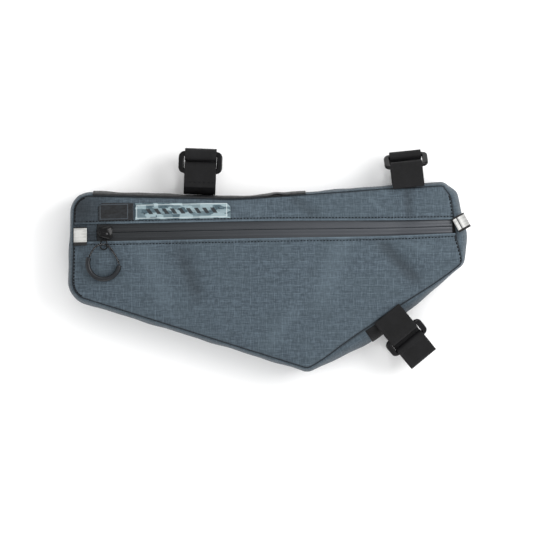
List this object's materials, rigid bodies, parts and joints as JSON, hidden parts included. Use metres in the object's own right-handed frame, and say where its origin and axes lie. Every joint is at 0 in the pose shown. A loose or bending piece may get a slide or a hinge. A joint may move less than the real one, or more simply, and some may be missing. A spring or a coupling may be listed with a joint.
{
  "type": "bicycle frame bag",
  "caption": "Wedge-shaped bicycle frame bag of blue-grey ripstop with a coated zip, a corded C-shaped pull, reflective tabs and black strap loops with plastic rings.",
  "frame": {"origin": "middle of the body's length and height, on the outside of the flat back panel that the bag lies on", "axes": "+X along the bag to its right as seen from the front, +Y towards the top edge, +Z out of the front face"},
  "size_m": [0.3814, 0.2116, 0.0666],
  "materials": {
    "shell_fabric": "matt blue-grey ripstop weave",
    "coated_band": "rubber-coated cloth, dull",
    "webbing": "black woven webbing",
    "zip_tape": "coated water-resistant zip, satin",
    "hard_plastic": "moulded, glossy",
    "grip_rubber": "satin tube",
    "reflective": "reflective tape",
    "label_dark": "printed film",
    "label_light": "pearly film",
    "cord": "black braid with a light fleck"
  },
  "bodies": {
    "root": {"front_upper_panel": "shell_fabric", "front_lower_panel": "shell_fabric", "side_gusset": "shell_fabric", "top_gusset": "shell_fabric", "back_panel": "shell_fabric", "top_band": "coated_band", "zip_tape_upper": "zip_tape", "zip_tape_lower": "zip_tape", "zip_end_cover": "shell_fabric", "zip_slider": "hard_plastic", "pull_tab": "hard_plastic", "pull_cord": "cord", "pull_grip": "grip_rubber", "left_tab": "reflective", "right_tab": "reflective", "label_dark": "label_dark", "label_light": "label_light", "top_left_holder": "webbing", "top_left_ring": "hard_plastic", "top_left_loop": "webbing", "top_right_holder": "webbing", "top_right_ring": "hard_plastic", "top_right_loop": "webbing", "lower_holder": "webbing", "lower_ring": "hard_plastic", "lower_loop": "webbing", "lower_strap_base": "webbing"}
  },
  "joints": []
}
